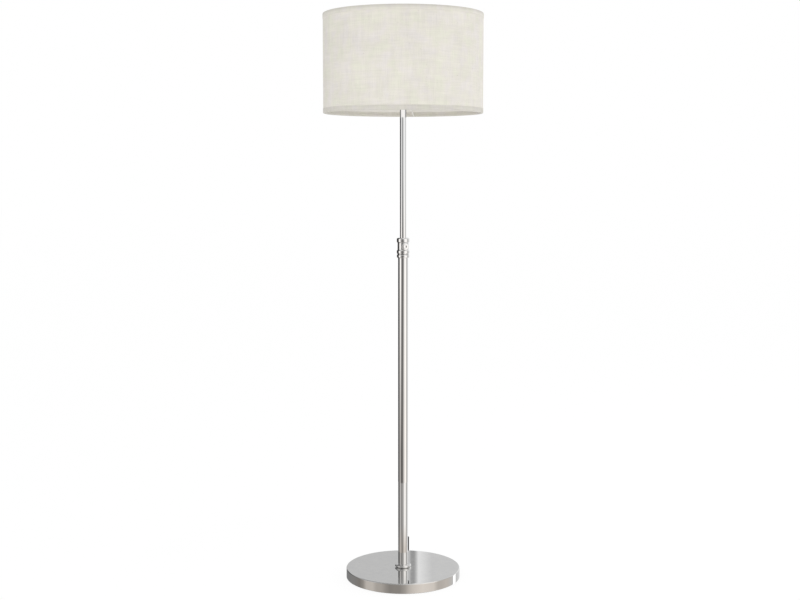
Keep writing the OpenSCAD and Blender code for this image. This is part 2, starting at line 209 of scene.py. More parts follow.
def bump(tree, shader, height, strength, distance):
    made = add_node(tree, "ShaderNodeBump", Strength=strength, Distance=distance)
    tree.links.new(height, made.inputs["Height"])
    tree.links.new(made.outputs["Normal"], shader.inputs["Normal"])


def chrome():
    """Bright nickel-chrome plate, with a breath of polishing haze."""
    material, tree, shader = new_material("chrome_plate")
    shader.inputs["Metallic"].default_value = 1
    haze = noise(tree, place(tree, scale=(60, 60, 9)), 1.0, 4)
    tree.links.new(ramp(tree, haze, [(0.3, (0.80, 0.80, 0.80)), (0.7, (0.85, 0.848, 0.84))]),
                   shader.inputs["Base Color"])
    tree.links.new(spread(tree, haze, 0.03, 0.075), shader.inputs["Roughness"])
    swirl = noise(tree, place(tree, scale=(240, 240, 40)), 1.0, 2)
    bump(tree, shader, swirl, 0.04, 0.0002)
    return material


def plain(name, colour, roughness, metallic=0.0, grain=300.0, variation=0.06, relief=0.03):
    """A painted, moulded, cast or turned surface with fine grain."""
    material, tree, shader = new_material(name)
    shader.inputs["Metallic"].default_value = metallic
    where = place(tree)
    cloud = noise(tree, where, grain * 0.15, 4)
    fine = noise(tree, where, grain, 3)
    dark = tuple(c * (1 - variation) for c in colour)
    light = tuple(min(1, c * (1 + variation)) for c in colour)
    tree.links.new(ramp(tree, cloud, [(0.3, dark), (0.7, light)]), shader.inputs["Base Color"])
    tree.links.new(spread(tree, fine, max(0.02, roughness - 0.06), roughness + 0.06),
                   shader.inputs["Roughness"])
    bump(tree, shader, fine, relief, 0.0003)
    return material


def opal():
    """Opal-coated glass: white all through, under a clear gloss."""
    material, tree, shader = new_material("opal_coating")
    cloud = noise(tree, place(tree), 30, 2)
    tree.links.new(ramp(tree, cloud, [(0.3, (0.90, 0.89, 0.86)), (0.7, (0.93, 0.92, 0.90))]),
                   shader.inputs["Base Color"])
    tree.links.new(spread(tree, cloud, 0.16, 0.22), shader.inputs["Roughness"])
    shader.inputs["Subsurface Weight"].default_value = 0.2
    shader.inputs["Subsurface Radius"].default_value = (0.01, 0.01, 0.01)
    shader.inputs["Coat Weight"].default_value = 0.4
    return material


def linen(name, shade, painted_rim_shade=None):
    """Natural linen: a fine plain weave with slubbed threads both ways, soft patches and flecks.
    The shade argument is a painted shade, a level that darkens the whole cloth. Between the two
    heights in the last argument a painted shade darkens it further, along the rolled edge where it
    turns over."""
    material, tree, shader = new_material(name)
    pitch = 0.00055
    where = place(tree, "UV")
    split = add_node(tree, "ShaderNodeSeparateXYZ")
    tree.links.new(where, split.inputs["Vector"])
    across = maths(tree, "SINE", maths(tree, "MULTIPLY", split.outputs["X"], FULL_TURN / pitch / 2))
    along = maths(tree, "SINE", maths(tree, "MULTIPLY", split.outputs["Y"], FULL_TURN / pitch / 2))
    weave = maths(tree, "MULTIPLY", across, along)
    upright_slub = noise(tree, place(tree, "UV", (400, 26, 1)), 1.0, 3, 0.6)
    level_slub = noise(tree, place(tree, "UV", (24, 460, 1)), 1.0, 3, 0.6)
    broad_upright = noise(tree, place(tree, "UV", (85, 15, 1)), 1.0, 3)
    broad_level = noise(tree, place(tree, "UV", (13, 95, 1)), 1.0, 3)
    patches = noise(tree, place(tree, "UV", (20, 16, 1)), 1.0, 4)
    warm_patches = noise(tree, place(tree, "UV", (30, 26, 1)), 1.0, 3)
    flecks = noise(tree, place(tree, "UV", (190, 260, 1)), 1.0, 1)

    base = ramp(tree, warm_patches, [(0.36, (0.835, 0.820, 0.715)), (0.50, (0.848, 0.815, 0.738)),
                                     (0.64, (0.852, 0.814, 0.770))])
    tone = maths(tree, "ADD", spread(tree, upright_slub, -0.032, 0.032),
                 spread(tree, level_slub, -0.032, 0.032))
    tone = maths(tree, "ADD", tone, spread(tree, broad_upright, -0.022, 0.022))
    tone = maths(tree, "ADD", tone, spread(tree, broad_level, -0.022, 0.022))
    tone = maths(tree, "ADD", tone, spread(tree, patches, -0.03, 0.03))
    tone = maths(tree, "ADD", tone, spread(tree, weave, -0.035, 0.035, -1, 1))
    # Painted shade: the shade level scales the whole cloth darker; 1 paints none.
    tone = maths(tree, "ADD", tone, shade)
    # Painted shade along the rolled edge: darker between the two heights of the last argument.
    if painted_rim_shade:
        spot = add_node(tree, "ShaderNodeSeparateXYZ")
        tree.links.new(place(tree), spot.inputs["Vector"])
        tone = maths(tree, "MULTIPLY", tone, spread(tree, spot.outputs["Z"], 1, 0.83, *painted_rim_shade))
    toned = mix(tree, 1.0, base, tone, "MULTIPLY")
    fleck = spread(tree, flecks, 0, 0.45, 0.74, 0.80)
    tree.links.new(mix(tree, fleck, toned, (0.42, 0.36, 0.27)), shader.inputs["Base Color"])
    shader.inputs["Roughness"].default_value = 0.9
    shader.inputs["Specular IOR Level"].default_value = 0.25
    shader.inputs["Sheen Weight"].default_value = 0.15
    shader.inputs["Sheen Roughness"].default_value = 0.5
    height = maths(tree, "ADD", maths(tree, "MULTIPLY", weave, 0.35),
                   maths(tree, "ADD", maths(tree, "MULTIPLY", upright_slub, 0.5),
                         maths(tree, "MULTIPLY", level_slub, 0.5)))
    bump(tree, shader, height, 0.35, 0.0004)
    return material


CHROME = chrome()
LINEN = linen("natural_linen", 1.0)
# Painted shade: the lower hem's linen is drawn darker than the rest of the cloth.
HEM_LINEN_PAINTED_SHADE = linen("hem_linen_painted_shade", 0.84)
# Painted shade: the top hem's linen is drawn a little darker, and darker still along its rolled top
# edge.
TOP_LINEN_PAINTED_SHADE = linen("top_hem_linen_painted_shade", 0.97, (SHADE_TOP - 9 * MM, SHADE_TOP - 2 * MM))
LINING = plain("lining_film", (0.90, 0.875, 0.82), 0.55, grain=900, variation=0.02, relief=0.03)
ENAMEL = plain("cream_enamel", (0.95, 0.93, 0.86), 0.2, grain=260, variation=0.02, relief=0.02)
ZINC = plain("zinc_steel", (0.62, 0.62, 0.60), 0.34, metallic=1, grain=900)
IRON = plain("cast_iron", (0.13, 0.13, 0.135), 0.72, metallic=0.6, grain=700, relief=0.6)
BLACK_PAINT = plain("black_paint", (0.03, 0.03, 0.032), 0.42, grain=500)
FELT = plain("felt", (0.045, 0.045, 0.05), 0.95, grain=1800, variation=0.3, relief=1.0)
BLACK_PLASTIC = plain("black_plastic", (0.018, 0.018, 0.019), 0.5, grain=900)
BLACK_PLASTIC.node_tree.nodes["Principled BSDF"].inputs["Specular IOR Level"].default_value = 0.2
NYLON = plain("nylon", (0.80, 0.78, 0.70), 0.4, grain=500)
BRASS = plain("brass", (0.80, 0.60, 0.28), 0.2, metallic=1, grain=600)
WHITE_PLASTIC = plain("white_plastic", (0.86, 0.85, 0.81), 0.28, grain=800, variation=0.02,
                      relief=0.01)
CERAMIC = plain("ceramic", (0.84, 0.82, 0.76), 0.3, grain=400, variation=0.03)
BULB_METAL = plain("bulb_metal", (0.78, 0.78, 0.77), 0.25, metallic=1, grain=900)
OPAL = opal()

FINISHES = {
    "chrome": CHROME, "cast_iron": IRON, "black_paint": BLACK_PAINT, "zinc_steel": ZINC,
    "felt": FELT, "black_plastic": BLACK_PLASTIC, "nylon": NYLON, "brass": BRASS,
    "white_plastic": WHITE_PLASTIC, "ceramic": CERAMIC, "bulb_metal": BULB_METAL,
    "opal_glass": OPAL, "cream_enamel": ENAMEL, "lining": LINING, "linen": LINEN,
    "hem": HEM_LINEN_PAINTED_SHADE,
}


def finish_cad_nodes():
    """Each carried-over node gets the finish of its slot in the record."""
    for part in frame["record"]["subparts"]:
        mesh = NODES[part["node"]].data
        mesh.materials.clear()
        mesh.materials.append(FINISHES[part["material_slot"]])


finish_cad_nodes()


# ---------------------------------------------------------------- modelling helpers

def deselect():
    bpy.ops.object.select_all(action="DESELECT")


def edit(action="SELECT"):
    bpy.ops.object.mode_set(mode="EDIT")
    bpy.ops.mesh.select_all(action=action)


def done_editing():
    bpy.ops.object.mode_set(mode="OBJECT")


def apply_modifier(piece, kind, **values):
    modifier = piece.modifiers.new(kind.lower(), kind)
    for key, value in values.items():
        setattr(modifier, key, value)
    bpy.ops.object.modifier_apply(modifier=modifier.name)


def settle(piece):
    """Puts the piece's place in its mesh."""
    deselect()
    piece.select_set(True)
    bpy.context.view_layer.objects.active = piece
    bpy.ops.object.transform_apply(location=True, rotation=True, scale=True)


def soften(piece, width, segments=2, angle=35):
    """Breaks the sharp edges and shades the rest smooth."""
    deselect()
    piece.select_set(True)
    bpy.context.view_layer.objects.active = piece
    if width:
        apply_modifier(piece, "BEVEL", width=width, segments=segments, limit_method="ANGLE",
                       angle_limit=math.radians(angle), harden_normals=False)
    bpy.ops.object.shade_smooth_by_angle(angle=math.radians(angle))


def arc(centre, radius, start, end, steps=6):
    """Points on an arc, as (radius, height), with the angles in degrees."""
    points = []
    for i in range(steps + 1):
        turn = math.radians(start + (end - start) * i / steps)
        points.append((centre[0] + radius * math.cos(turn), centre[1] + radius * math.sin(turn)))
    return points


def turned(name, outline, steps=128, closed=True):
    """Draws an outline of (radius, height) points from a single vertex, and spins it once round."""
    deselect()
    bpy.ops.mesh.primitive_plane_add(size=MM)
    piece = bpy.context.active_object
    piece.name = name
    edit()
    bpy.ops.mesh.merge(type="CENTER")
    bpy.ops.transform.translate(value=(outline[0][0], 0, outline[0][1]))
    path = outline[1:] + (outline[:1] if closed else [])
    for (r0, z0), (r1, z1) in zip(outline, path):
        bpy.ops.mesh.extrude_vertices_move(TRANSFORM_OT_translate={"value": (r1 - r0, 0, z1 - z0)})
    bpy.ops.mesh.select_all(action="SELECT")
    bpy.ops.mesh.spin(steps=steps, angle=FULL_TURN, center=(0, 0, 0), axis=(0, 0, 1))
    bpy.ops.mesh.select_all(action="SELECT")
    bpy.ops.mesh.remove_doubles(threshold=0.000001)
    bpy.ops.mesh.delete_loose(use_verts=True, use_edges=True, use_faces=False)
    bpy.ops.mesh.select_all(action="SELECT")
    bpy.ops.mesh.normals_make_consistent(inside=False)
    done_editing()
    return piece


def aim(piece, angle, height):
    """Lays a piece that was turned round +Z level, to point outwards from the pole."""
    piece.rotation_euler = (0, math.pi / 2, angle)
    piece.location = (0, 0, height)
    settle(piece)


def finish_piece(piece, material, slot, body, *nodes):
    piece.data.materials.clear()
    piece.data.materials.append(material)
    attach(piece, body)
    if nodes:
        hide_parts(*nodes)


def wrap_uv(piece):
    """Lays the cloth's threads round the shade: U runs round and V runs up, both in metres."""
    mesh = piece.data
    layer = mesh.uv_layers.active or mesh.uv_layers.new(name="threads")
    for face in mesh.polygons:
        first = None
        for loop in face.loop_indices:
            spot = mesh.vertices[mesh.loops[loop].vertex_index].co
            turn = math.atan2(-spot.x, -spot.y)
            if first is None:
                first = turn
            if turn - first > math.pi:
                turn -= FULL_TURN
            if turn - first < -math.pi:
                turn += FULL_TURN
            lift = math.hypot(spot.x, spot.y) - SHADE_R
            layer.data[loop].uv = (turn * SHADE_R, spot.z + lift)


# ---------------------------------------------------------------- base

def make_base():
    edge = 2 * MM
    wall = 1.5 * MM
    bore = 5.5 * MM
    low = foot_of("base_cover")
    curl = 0.6 * MM
    outline = [(bore, BASE_TOP), (POLE_R * 2, BASE_TOP), (BASE_R - 3 * edge, BASE_TOP)]
    outline += arc((BASE_R - edge, BASE_TOP - edge), edge, 90, 0, 8)
    outline += [(BASE_R, BASE_TOP - 2 * edge), (BASE_R, low + 2 * curl)]
    outline += arc((BASE_R - curl, low + curl), curl, 0, -90, 4)
    outline += [(BASE_R - wall, low), (BASE_R - wall, BASE_TOP - edge - wall)]
    outline += [(BASE_R - edge - wall, BASE_TOP - wall), (bore, BASE_TOP - wall)]
    shell = turned("base_shell", outline, 192)
    soften(shell, 0)
    finish_piece(shell, CHROME, "chrome", "stand", "base_cover")


def make_foot_ring():
    inner = POLE_R + SEAT_GAP
    low, high = foot_of("foot_ring"), top_of("foot_ring")
    outer = radius_of("foot_ring")
    round_r = (high - low) / 2 - 0.05 * MM
    outline = [(inner, low)]
    outline += arc((outer - round_r, low + round_r), round_r, -90, 90, 16)
    outline += [(inner + 0.8 * MM, high), (inner, high - 0.5 * MM)]
    ring = turned("pole_foot_bead", outline)
    soften(ring, 0)
    finish_piece(ring, CHROME, "chrome", "stand", "foot_ring")


# ---------------------------------------------------------------- pole

def pipe(name, outer, wall, low, high):
    rim = 0.3 * MM
    outline = [(outer, low + rim), (outer, high - rim), (outer - rim, high),
               (outer - wall + rim, high), (outer - wall, high - rim), (outer - wall, low + rim),
               (outer - wall + rim, low), (outer - rim, low)]
    return turned(name, outline)


def make_lower_pole():
    wall = 1.2 * MM
    lead_hole_r = 5.7 * MM
    piece = pipe("lower_pole", POLE_R, wall, foot_of("lower_tube"), top_of("lower_tube"))
    deselect()
    bpy.ops.mesh.primitive_cylinder_add(vertices=48, radius=lead_hole_r, depth=POLE_R * 2,
                                        location=(0, 0, POLE_R))
    drill = bpy.context.active_object
    settle(drill)
    aim(drill, OUTLET_ANGLE, OUTLET_Z)
    deselect()
    piece.select_set(True)
    bpy.context.view_layer.objects.active = piece
    apply_modifier(piece, "BOOLEAN", operation="DIFFERENCE", object=drill, solver="EXACT")
    bpy.data.objects.remove(drill)
    soften(piece, 0)
    finish_piece(piece, CHROME, "chrome", "stand", "lower_tube")


def make_upper_pole():
    wall = 1 * MM
    piece = pipe("upper_pole_tube", STEM_R, wall, foot_of("upper_tube"), top_of("upper_tube"))
    soften(piece, 0)
    finish_piece(piece, CHROME, "chrome", "upper_pole", "upper_tube")


def make_collar():
    low, top = foot_of("clamp_collar"), COLLAR_TOP
    bead_r = radius_of("clamp_collar")
    neck_r = 14 * MM
    skirt_r = 14.6 * MM
    top_bead_h = 12 * MM
    neck_h = 18 * MM
    skirt_h = 1 * MM
    corner = 3.2 * MM
    top_low = top - top_bead_h
    neck_low = top_low - neck_h
    bead_low = low + skirt_h
    sleeve = POLE_R + SEAT_GAP
    bush = 10.15 * MM
    lip = STEM_R + 0.5 * MM
    lip_h = 2 * MM
    lip_edge = 0.4 * MM
    fillet = 0.7 * MM
    outline = [(sleeve, low), (skirt_r, low), (skirt_r, bead_low)]
    outline += arc((bead_r - corner, bead_low + corner), corner, -90, 0)
    outline += arc((bead_r - corner, neck_low - corner), corner, 0, 60)
    outline += arc((neck_r + fillet, neck_low + fillet), fillet, 240, 180, 3)
    outline += arc((neck_r + fillet, top_low - fillet), fillet, 180, 120, 3)
    outline += arc((bead_r - corner, top_low + corner), corner, -60, 0)
    outline += arc((bead_r - corner, top - corner), corner, 0, 90)
    outline += [(lip + lip_edge, top), (lip, top - lip_edge), (lip, top - lip_h),
                (bush, top - lip_h), (bush, neck_low), (sleeve, neck_low)]
    collar = turned("beaded_collar", outline)
    soften(collar, 0)
    finish_piece(collar, CHROME, "chrome", "stand", "clamp_collar")

    low, top = foot_of("collar_ferrule"), top_of("collar_ferrule")
    outer = radius_of("collar_ferrule")
    corner = 3 * MM
    outline = [(sleeve, low)]
    outline += arc((outer - corner, low + corner), corner, -90, 0)
    outline += arc((outer - corner, top - corner), corner, 0, 90)
    outline += [(sleeve, top)]
    ferrule = turned("collar_bead", outline)
    soften(ferrule, 0)
    finish_piece(ferrule, CHROME, "chrome", "stand", "collar_ferrule")


def make_knob():
    """Turned along its own screw, then laid level, so heights here are distances from the pole."""
    knob_r = radius_of("lock_knob")
    back = 16.6 * MM
    face = 21.6 * MM
    stem_back = 15 * MM
    stem_r = 5 * MM
    screw_r = 3.05 * MM
    corner = 2.2 * MM
    dimple_r = 4 * MM
    dome = 0.5 * MM
    rim_r = knob_r - corner
    crown = (rim_r ** 2 - dimple_r ** 2 + dome ** 2) / (2 * dome)
    crown_r = math.hypot(dimple_r, crown)
    bowl_r = 9.3 * MM
    bowl_dip = 0.9 * MM
    bowl_half = math.degrees(math.asin(dimple_r / bowl_r))
    socket = back + 3.05 * MM
    outline = [(0, socket), (screw_r, socket), (screw_r, stem_back), (stem_r, stem_back)]
    outline += arc((stem_r + 0.5 * MM, back - 0.5 * MM), 0.5 * MM, 180, 90, 3)
    outline += arc((knob_r - corner, back + corner), corner, -90, 0)
    outline += arc((knob_r - corner, face - dome - corner), corner, 0, 80)
    outline += arc((0, face - crown), crown_r, 90 - math.degrees(math.asin(rim_r / crown_r)),
                   90 - math.degrees(math.asin((dimple_r + 0.2 * MM) / crown_r)), 5)
    outline += arc((0, face - bowl_dip + bowl_r), bowl_r, -90 + bowl_half, -90, 6)
    knob = turned("thumb_knob", outline, 96, closed=False)
    soften(knob, 0)
    aim(knob, KNOB_ANGLE, KNOB_Z)
    finish_piece(knob, CHROME, "chrome", "knob", "lock_knob")


# ---------------------------------------------------------------- cable outlet

def merged_copy(node, name):
    """A copy of a CAD node with its loose triangles joined and its flat faces whole."""
    piece = NODES[node].copy()
    piece.data = NODES[node].data.copy()
    piece.name = name
    piece.parent = None
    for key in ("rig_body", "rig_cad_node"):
        del piece[key]
    bpy.context.scene.collection.objects.link(piece)
    deselect()
    piece.select_set(True)
    bpy.context.view_layer.objects.active = piece
    edit()
    bpy.ops.mesh.remove_doubles(threshold=0.00001)
    bpy.ops.mesh.dissolve_limited(angle_limit=math.radians(1))
    done_editing()
    return piece


def make_outlet():
    outlet = merged_copy("cable_outlet", "lead_outlet")
    soften(outlet, 0.7 * MM, 3, 50)
    finish_piece(outlet, BLACK_PLASTIC, "black_plastic", "stand", "cable_outlet")


# ---------------------------------------------------------------- shade carrier

def make_casings():
    """Lampholder casings, hub and ring nut, with their edges broken and their rounds smooth."""
    for node, name, edge, material, slot in (
            ("holder_cap", "lampholder_cup", 0.4, WHITE_PLASTIC, "white_plastic"),
            ("holder_body", "lampholder_sleeve", 0, WHITE_PLASTIC, "white_plastic"),
            ("clamp_nut", "ring_nut", 0.2, WHITE_PLASTIC, "white_plastic"),
            ("spider_hub", "spider_ring", 0.5, ENAMEL, "cream_enamel")):
        piece = merged_copy(node, name)
        soften(piece, edge * MM, 2, 35)
        finish_piece(piece, material, slot, "upper_pole", node)


def make_wire_arms():
    """One straight wire, from the hub down to the rim wire in the hem, modelled once and copied."""
    hub_r = radius_of("spider_hub")
    hub_z = (foot_of("spider_hub") + top_of("spider_hub")) / 2
    rim_wire_r = (top_of("shade_bottom_ring") - foot_of("shade_bottom_ring")) / 2
    rim_r = radius_of("shade_bottom_ring") - rim_wire_r
    rim_z = foot_of("shade_bottom_ring") + rim_wire_r
    arm_r = 2.25 * MM
    spare = 12 * MM
    tilt = math.atan2(hub_z - rim_z, rim_r - hub_r)
    deselect()
    bpy.ops.mesh.primitive_cylinder_add(
        vertices=24, radius=arm_r, depth=math.hypot(rim_r - hub_r, hub_z - rim_z) + spare,
        location=((hub_r + rim_r) / 2, 0, (hub_z + rim_z) / 2), rotation=(0, math.pi / 2 + tilt, 0))
    wire = bpy.context.active_object
    settle(wire)
    between = turned("between_hub_and_rim", [
        (hub_r, rim_z - spare), (rim_r - rim_wire_r, rim_z - spare),
        (rim_r - rim_wire_r, hub_z + spare), (hub_r, hub_z + spare)], 192)
    deselect()
    wire.select_set(True)
    bpy.context.view_layer.objects.active = wire
    apply_modifier(wire, "BOOLEAN", operation="INTERSECT", object=between, solver="EXACT")
    bpy.data.objects.remove(between)
    for node, angle in ARM_ANGLES.items():
        arm = wire.copy()
        arm.data = wire.data.copy()
        arm.name = node.replace("spider", "wire")
        bpy.context.scene.collection.objects.link(arm)
        arm.rotation_euler = (0, 0, angle)
        settle(arm)
        soften(arm, 0)
        finish_piece(arm, ENAMEL, "cream_enamel", "upper_pole", node)
    bpy.data.objects.remove(wire)


# ---------------------------------------------------------------- shade

CLOTH_T = 0.3 * MM
FABRIC_R = radius_of("shade_fabric")
LAP = 10 * MM


def make_fabric():
    """A strip of linen cut flat, rolled round the lining and glued in a lap at the back."""
    low, high = foot_of("shade_fabric"), top_of("shade_fabric")
    outside = FABRIC_R - 0.02 * MM
    middle = outside - CLOTH_T / 2
    round_l = FULL_TURN * middle
    length = round_l + LAP
    height = high - low
    deselect()
    bpy.ops.mesh.primitive_grid_add(x_subdivisions=360, y_subdivisions=18, size=1)
    cloth = bpy.context.active_object
    cloth.name = "linen_drum"
    cloth.scale = (length, height, 1)
    settle(cloth)
    random.seed(7)
    waves = [(random.uniform(0.7, 1.3), random.randint(3, 17), random.uniform(0, FULL_TURN))
             for _ in range(6)]
    for vertex in cloth.data.vertices:
        run, rise = vertex.co.x, vertex.co.y
        turn = run / middle
        pull = math.cos(rise / height * math.pi)
        wave = sum(size * (1 + math.sin(count * turn + start)) for size, count, start in waves)
        under = min(1.0, max(0.0, (LAP / 2 - round_l / 2 - run) / LAP * 4 + 1))
        radius = middle + 0.02 * MM * wave * pull - 1.04 * CLOTH_T * under
        vertex.co = (radius * math.sin(turn), -radius * math.cos(turn), (low + high) / 2 + rise)
    for loop in cloth.data.uv_layers.active.data:
        loop.uv = (loop.uv.x * length, loop.uv.y * height)
    deselect()
    cloth.select_set(True)
    bpy.context.view_layer.objects.active = cloth
    apply_modifier(cloth, "SOLIDIFY", thickness=CLOTH_T, offset=0)
    bpy.ops.object.shade_smooth_by_angle(angle=math.radians(50))
    finish_piece(cloth, LINEN, "linen", "upper_pole", "shade_fabric")
    return cloth, (length, height)


def cut_slits(hem):
    """Notches the inner leg of the hem where the spider's arms pass through it."""
    slit_r = 3 * MM
    slit_l = 12 * MM
    leg_r = 189.9 * MM
    arm_lift = 2.2 * MM
    for node in ARM_ANGLES:
        low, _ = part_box(node)
        deselect()
        bpy.ops.mesh.primitive_cylinder_add(vertices=32, radius=slit_r, depth=slit_l,
                                            location=(leg_r, 0, low.z + arm_lift),
                                            rotation=(0, math.pi / 2, 0))
        cutter = bpy.context.active_object
        settle(cutter)
        cutter.rotation_euler = (0, 0, ARM_ANGLES[node])
        settle(cutter)
        deselect()
        hem.select_set(True)
        bpy.context.view_layer.objects.active = hem
        apply_modifier(hem, "BOOLEAN", operation="DIFFERENCE", object=cutter, solver="EXACT")
        bpy.data.objects.remove(cutter)


def make_hem(name, edge, up, node, painted_shade_cloth):
    """Folded edge: down the outside, rolled under the rim wire and back up inside to the lining."""
    cloth = 0.6 * MM
    outside = SHADE_R
    under = 2.5 * MM
    wire_in = outside - 6.25 * MM
    back = LINING_R - 0.85 * MM
    outline = [(outside - cloth, HEM_H), (outside - cloth * 0.3, HEM_H), (outside, HEM_H - cloth)]
    outline += arc((outside - under, under), under, 0, -90, 6)
    outline += arc((wire_in + under, under), under, -90, -180, 6)
    outline += [(wire_in, 4.4 * MM), (back - cloth, 8 * MM), (back - cloth, HEM_H), (back, HEM_H),
                (back, 7.6 * MM), (wire_in + cloth, 4.0 * MM)]
    outline += arc((wire_in + under, under), under - cloth, -180, -90, 6)
    outline += arc((outside - under, under), under - cloth, -90, 0, 6)
    outline = [(r, edge + up * z) for r, z in outline]
    hem = turned(name, outline, 192)
    if up > 0:
        cut_slits(hem)
    wrap_uv(hem)
    soften(hem, 0, angle=50)
    finish_piece(hem, painted_shade_cloth, "hem", "upper_pole", node)
    return hem


def make_lining():
    """Stiff film, rolled up and glued in a lap at the back between the two hems."""
    low, high = foot_of("shade_lining"), top_of("shade_lining")
    outer = LINING_R
    thickness = 0.8 * MM
    inner = outer - thickness
    clear = HEM_H + 2 * MM
    lining = turned("lining_drum", [(outer, low), (outer, high), (inner, high),
                                    (inner, high - clear), (inner, low + clear), (inner, low)], 192)
    lap_turn = math.radians(2)
    lap_t = 0.35 * MM
    edit("DESELECT")
    bpy.ops.mesh.select_mode(type="FACE")
    done_editing()
    for face in lining.data.polygons:
        spot = face.center
        face.select = (math.hypot(spot.x, spot.y) < inner + 0.1 * MM and spot.y > 0
                       and abs(math.atan2(spot.x, spot.y)) < lap_turn
                       and low + clear < spot.z < high - clear)
    bpy.ops.object.mode_set(mode="EDIT")
    bpy.ops.mesh.extrude_region_shrink_fatten(TRANSFORM_OT_shrink_fatten={"value": lap_t})
    bpy.ops.mesh.select_mode(type="VERT")
    done_editing()
    soften(lining, 0)
    finish_piece(lining, LINING, "lining", "upper_pole", "shade_lining")


# ---------------------------------------------------------------- bulb

def make_bulb():
    """Pear shape: the crown's ball runs into the neck through one hollow curve."""
    foot = foot_of("bulb_contact")
    ball_r = radius_of("bulb_glass")
    ball_z = top_of("bulb_glass") - ball_r
    neck_r = 13.4 * MM
    neck_z = foot + 33 * MM
    seat_r = 11.4 * MM
    glass = 1 * MM
    rise = ball_z - neck_z
    hollow_r = (neck_r ** 2 + rise ** 2 - ball_r ** 2) / (2 * (ball_r - neck_r))
    slope = math.degrees(math.atan2(rise, neck_r + hollow_r))

    def wall(inset):
        points = [(seat_r - inset, foot + 20 * MM), (seat_r - inset, foot + 25.6 * MM)]
        points += [(neck_r - 0.5 * MM - inset, foot + 27.6 * MM), (neck_r - inset, foot + 29 * MM)]
        points += arc((neck_r + hollow_r, neck_z), hollow_r + inset, 180, 180 - slope, 12)
        return points + arc((0, ball_z), ball_r - inset, 0.5 - slope, 90, 32)

    bulb = turned("opal_bulb", wall(glass)[::-1] + wall(0), 96, closed=False)
    soften(bulb, 0, angle=40)
    finish_piece(bulb, OPAL, "opal_glass", "upper_pole", "bulb_glass")


# ---------------------------------------------------------------- studio

def stage_piece(obj, material):
    obj.data.materials.clear()
    obj.data.materials.append(material)


def ray_share(tree, *rays):
    path = add_node(tree, "ShaderNodeLightPath")
    share = path.outputs[rays[0]]
    for ray in rays[1:]:
        share = maths(tree, "MAXIMUM", share, path.outputs[ray])
    return share


FLOOR_SIZE = 60
FLOOR_GLOW = 1.06
FLOOR_GLOW_SHARE = 0.85


def make_floor():
    deselect()
    bpy.ops.mesh.primitive_plane_add(size=FLOOR_SIZE)
    floor = bpy.context.active_object
    floor.name = "floor"
    material, tree, shader = new_material("pale_floor")
    shader.inputs["Base Color"].default_value = (0.80, 0.80, 0.80, 1)
    shader.inputs["Roughness"].default_value = 0.9
    glow = add_node(tree, "ShaderNodeEmission", Strength=FLOOR_GLOW)
    seen = ray_share(tree, "Is Camera Ray", "Is Glossy Ray", "Is Transmission Ray")
    share = maths(tree, "MULTIPLY", seen, FLOOR_GLOW_SHARE)
    joined = tree.nodes.new("ShaderNodeMixShader")
    tree.links.new(share, joined.inputs["Fac"])
    tree.links.new(shader.outputs["BSDF"], joined.inputs[1])
    tree.links.new(glow.outputs["Emission"], joined.inputs[2])
    tree.links.new(joined.outputs["Shader"], tree.nodes["Material Output"].inputs["Surface"])
    floor.visible_glossy = False
    stage_piece(floor, material)


# What the chrome mirrors, by direction round the lamp in degrees: 0 is the front, plus is to the
# lamp's right. A dark flag on the left with a strip light beside it, a dim room in front, a wide
# soft box at the right front and a narrow strip light far right. The strip light and the soft box
# hang high, so each is given near the floor, at the pole's foot, low, half-way up, at the top and
# inside the shade. The levels were adjusted to the stripes on the real lamp's chrome.
NEAR_FLOOR = [
    (-180, 0.50), (-160, 0.25), (-140, 0.22), (-106, 0.24), (-90, 0.22), (-80, 0.30), (-72, 0.53),
    (-58, 0.55), (-50, 0.42), (-40, 0.40), (-24, 0.26), (-6, 0.27), (4, 0.38), (12, 0.55),
    (22, 0.64), (36, 0.74), (58, 0.68), (68, 0.50), (78, 0.50), (92, 0.54), (112, 0.56), (115, 1.6),
    (122, 1.6), (125, 0.60), (150, 0.75), (168, 0.50),
]
AT_FOOT = [
    (-180, 0.52), (-146, 0.48), (-138, 0.08), (-120, 0.04), (-100, 0.12), (-86, 0.25), (-72, 0.54),
    (-54, 0.57), (-44, 0.30), (-28, 0.28), (-12, 0.36), (4, 0.50), (16, 0.66), (26, 0.95),
    (42, 1.15), (60, 1.20), (70, 0.65), (84, 0.42), (98, 0.50), (112, 0.80), (128, 0.88),
    (155, 0.90), (172, 0.60),
]
LOW = [
    (-180, 0.50), (-164, 0.45), (-150, 0.04), (-120, 0.02), (-106, 0.06), (-96, 0.18),
    (-84, 0.30), (-72, 0.50), (-56, 0.48),
    (-46, 0.15), (-20, 0.12), (-8, 0.18), (4, 0.45), (16, 0.62), (30, 0.85), (44, 1.15), (64, 1.25),
    (76, 0.60), (92, 0.52), (112, 0.65), (130, 0.75), (155, 0.95), (172, 0.60),
]
HALF_WAY = [
    (-180, 0.50), (-164, 0.45), (-150, 0.04), (-120, 0.02), (-106, 0.05), (-96, 0.12),
    (-84, 0.30), (-76, 0.95), (-68, 1.30),
    (-54, 1.30), (-46, 0.60), (-34, 0.36), (-22, 0.18), (-6, 0.14), (6, 0.26), (14, 0.42),
    (24, 0.95), (40, 1.15), (62, 1.25), (74, 0.80), (84, 0.55), (96, 0.52), (112, 0.75),
    (130, 0.82), (155, 1.0), (172, 0.60),
]
AT_TOP = [
    (-180, 0.06), (-140, 0.03), (-106, 0.04), (-90, 0.10), (-80, 0.45), (-72, 0.95), (-58, 1.10),
    (-50, 0.75), (-40, 0.58), (-24, 0.38), (-6, 0.38), (4, 0.55), (12, 0.85), (22, 1.0),
    (36, 1.05), (58, 1.10), (68, 0.95), (78, 0.60), (92, 0.65), (112, 0.85), (125, 1.0), (150, 1.1),
    (168, 0.6),
]
